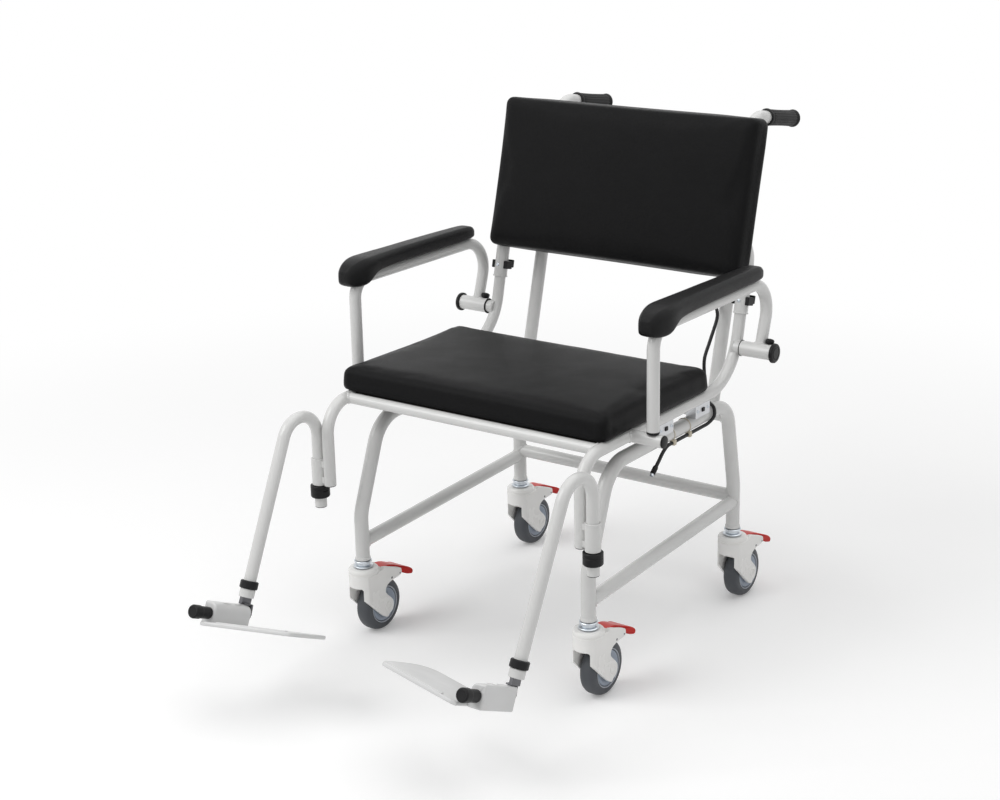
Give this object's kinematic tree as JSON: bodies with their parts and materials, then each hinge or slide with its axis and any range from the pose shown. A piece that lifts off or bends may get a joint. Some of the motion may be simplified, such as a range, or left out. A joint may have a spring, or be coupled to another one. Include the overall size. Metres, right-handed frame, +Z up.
{
  "type": "chair scale",
  "caption": "Wheeled weighing chair: padded seat and back on load cells, lift-up armrests, swing-away footrests, braked castors and a numeric indicator behind the backrest.",
  "frame": {"origin": "on the floor, under the middle of the chair's bounding box", "axes": "+Z up; the chair faces -Y, with its footrests at -Y and its push grips at +Y; +X is the seated user's left"},
  "size_m": [0.7108, 1.1872, 0.9296],
  "materials": {
    "frame_paint": "semi-gloss powder coat, near white",
    "upholstery": "black grained vinyl cover, satin",
    "arm_foam": "black grained polyurethane foam skin",
    "black_plastic": "black moulded plastic",
    "grip_rubber": "black rubber",
    "castor_plastic": "warm ivory moulded nylon",
    "pedal_plastic": "red moulded nylon",
    "tyre_rubber": "dark blue-grey thermoplastic rubber tread",
    "zinc_plate": "zinc-plated steel",
    "load_cell_metal": "machined aluminium",
    "footplate_plastic": "light grey moulded plastic",
    "board_wood": "plywood board painted black",
    "case_plastic": "light grey-white moulded housing",
    "circuit_green": "green circuit board",
    "window_glass": "clear window over blue-grey displays",
    "keypad_film": "dark grey membrane keypad with light number fields",
    "cable_jacket": "black flexible jacket"
  },
  "bodies": {
    "armrest_left": {"armrest_frame_left": "frame_paint", "armrest_pad_left": "arm_foam"},
    "armrest_right": {"armrest_frame_right": "frame_paint", "armrest_pad_right": "arm_foam"},
    "backrest": {"backrest_frame": "frame_paint", "backrest_pad": "upholstery"},
    "base": {"armrest_pivot_cap_left": "black_plastic", "armrest_pivot_cap_right": "black_plastic", "base_hoop_left": "frame_paint", "base_hoop_right": "frame_paint", "base_lower_bar_left": "frame_paint", "base_lower_bar_right": "frame_paint", "base_rear_lower_bar": "frame_paint", "base_rear_upper_bar": "frame_paint", "cable_tail": "cable_jacket", "castor_stem_front_left": "zinc_plate", "castor_stem_front_right": "zinc_plate", "castor_stem_rear_left": "zinc_plate", "castor_stem_rear_right": "zinc_plate", "indicator_bracket": "frame_paint", "indicator_circuit_board": "circuit_green", "indicator_front_shell": "case_plastic", "indicator_keypad": "keypad_film", "indicator_rear_shell": "case_plastic", "indicator_window": "window_glass", "load_cell_front_left": "load_cell_metal", "load_cell_front_right": "load_cell_metal", "load_cell_rear_left": "load_cell_metal", "load_cell_rear_right": "load_cell_metal", "push_grip_left": "grip_rubber", "push_grip_right": "grip_rubber", "push_post_left": "frame_paint", "push_post_right": "frame_paint", "seat_board": "board_wood", "seat_cushion": "upholstery", "seat_front_rail": "frame_paint", "seat_rear_rail": "frame_paint", "seat_side_frame_left": "frame_paint", "seat_side_frame_right": "frame_paint", "signal_cable": "cable_jacket"},
    "castor_front_left": {"castor_housing_front_left": "castor_plastic"},
    "castor_front_right": {"castor_housing_front_right": "castor_plastic"},
    "castor_rear_left": {"castor_housing_rear_left": "castor_plastic"},
    "castor_rear_right": {"castor_housing_rear_right": "castor_plastic"},
    "footplate_left": {"foot_bumper_left": "black_plastic", "footplate_left": "footplate_plastic"},
    "footplate_right": {"foot_bumper_right": "black_plastic", "footplate_right": "footplate_plastic"},
    "footrest_left": {"footrest_leg_left": "frame_paint"},
    "footrest_right": {"footrest_leg_right": "frame_paint"},
    "pedal_front_left": {"brake_pedal_front_left": "pedal_plastic"},
    "pedal_front_right": {"brake_pedal_front_right": "pedal_plastic"},
    "pedal_rear_left": {"brake_pedal_rear_left": "pedal_plastic"},
    "pedal_rear_right": {"brake_pedal_rear_right": "pedal_plastic"},
    "slider_left": {"footrest_slider_left": "zinc_plate"},
    "slider_right": {"footrest_slider_right": "zinc_plate"},
    "wheel_front_left": {"castor_wheel_front_left": "tyre_rubber"},
    "wheel_front_right": {"castor_wheel_front_right": "tyre_rubber"},
    "wheel_rear_left": {"castor_wheel_rear_left": "tyre_rubber"},
    "wheel_rear_right": {"castor_wheel_rear_right": "tyre_rubber"}
  },
  "joints": [
    {"name": "castor_swivel_front_left", "type": "hinge", "parent": "base", "child": "castor_front_left", "pos_m": [0.248, -0.18885, 0.1428], "axis": [0, 0, 1], "continuous": true},
    {"name": "wheel_roll_front_left", "type": "hinge", "parent": "castor_front_left", "child": "wheel_front_left", "pos_m": [0.248, -0.15085, 0.05], "axis": [1, 0, 0], "continuous": true},
    {"name": "brake_pedal_front_left", "type": "hinge", "parent": "castor_front_left", "child": "pedal_front_left", "pos_m": [0.248, -0.13984, 0.109], "axis": [-1, 0, 0], "range_deg": [0, 15]},
    {"name": "castor_swivel_front_right", "type": "hinge", "parent": "base", "child": "castor_front_right", "pos_m": [-0.248, -0.18885, 0.1428], "axis": [0, 0, 1], "continuous": true},
    {"name": "wheel_roll_front_right", "type": "hinge", "parent": "castor_front_right", "child": "wheel_front_right", "pos_m": [-0.248, -0.15085, 0.05], "axis": [1, 0, 0], "continuous": true},
    {"name": "brake_pedal_front_right", "type": "hinge", "parent": "castor_front_right", "child": "pedal_front_right", "pos_m": [-0.248, -0.13984, 0.109], "axis": [-1, 0, 0], "range_deg": [0, 15]},
    {"name": "castor_swivel_rear_left", "type": "hinge", "parent": "base", "child": "castor_rear_left", "pos_m": [0.248, 0.31316, 0.1428], "axis": [0, 0, 1], "continuous": true},
    {"name": "wheel_roll_rear_left", "type": "hinge", "parent": "castor_rear_left", "child": "wheel_rear_left", "pos_m": [0.248, 0.35115, 0.05], "axis": [1, 0, 0], "continuous": true},
    {"name": "brake_pedal_rear_left", "type": "hinge", "parent": "castor_rear_left", "child": "pedal_rear_left", "pos_m": [0.248, 0.36216, 0.109], "axis": [-1, 0, 0], "range_deg": [0, 15]},
    {"name": "castor_swivel_rear_right", "type": "hinge", "parent": "base", "child": "castor_rear_right", "pos_m": [-0.248, 0.31316, 0.1428], "axis": [0, 0, 1], "continuous": true},
    {"name": "wheel_roll_rear_right", "type": "hinge", "parent": "castor_rear_right", "child": "wheel_rear_right", "pos_m": [-0.248, 0.35115, 0.05], "axis": [1, 0, 0], "continuous": true},
    {"name": "brake_pedal_rear_right", "type": "hinge", "parent": "castor_rear_right", "child": "pedal_rear_right", "pos_m": [-0.248, 0.36216, 0.109], "axis": [-1, 0, 0], "range_deg": [0, 15]},
    {"name": "armrest_lift_left", "type": "hinge", "parent": "base", "child": "armrest_left", "pos_m": [0.318, 0.26765, 0.524], "axis": [-1, 0, 0], "range_deg": [0, 95]},
    {"name": "footrest_swing_left", "type": "hinge", "parent": "base", "child": "footrest_left", "pos_m": [0.294, -0.24385, 0.307], "axis": [0, 0, 1], "range_deg": [0, 90]},
    {"name": "footrest_length_left", "type": "slide", "parent": "footrest_left", "child": "slider_left", "axis": [-0.022, -0.4383, -0.8986], "range_m": [0, 0.08]},
    {"name": "footplate_flip_left", "type": "hinge", "parent": "slider_left", "child": "footplate_left", "pos_m": [0.28147, -0.46783, 0.13409], "axis": [0, 0.9063, -0.4226], "range_deg": [0, 65]},
    {"name": "armrest_lift_right", "type": "hinge", "parent": "base", "child": "armrest_right", "pos_m": [-0.318, 0.26765, 0.524], "axis": [-1, 0, 0], "range_deg": [0, 95]},
    {"name": "footrest_swing_right", "type": "hinge", "parent": "base", "child": "footrest_right", "pos_m": [-0.294, -0.24385, 0.307], "axis": [0, 0, -1], "range_deg": [0, 90]},
    {"name": "footrest_length_right", "type": "slide", "parent": "footrest_right", "child": "slider_right", "axis": [0.022, -0.4383, -0.8986], "range_m": [0, 0.08]},
    {"name": "footplate_flip_right", "type": "hinge", "parent": "slider_right", "child": "footplate_right", "pos_m": [-0.28147, -0.46783, 0.13409], "axis": [0, -0.9063, 0.4226], "range_deg": [0, 65]},
    {"name": "backrest_height", "type": "slide", "parent": "base", "child": "backrest", "axis": [0, 0.2278, 0.9737], "range_m": [0, 0.05]}
  ]
}
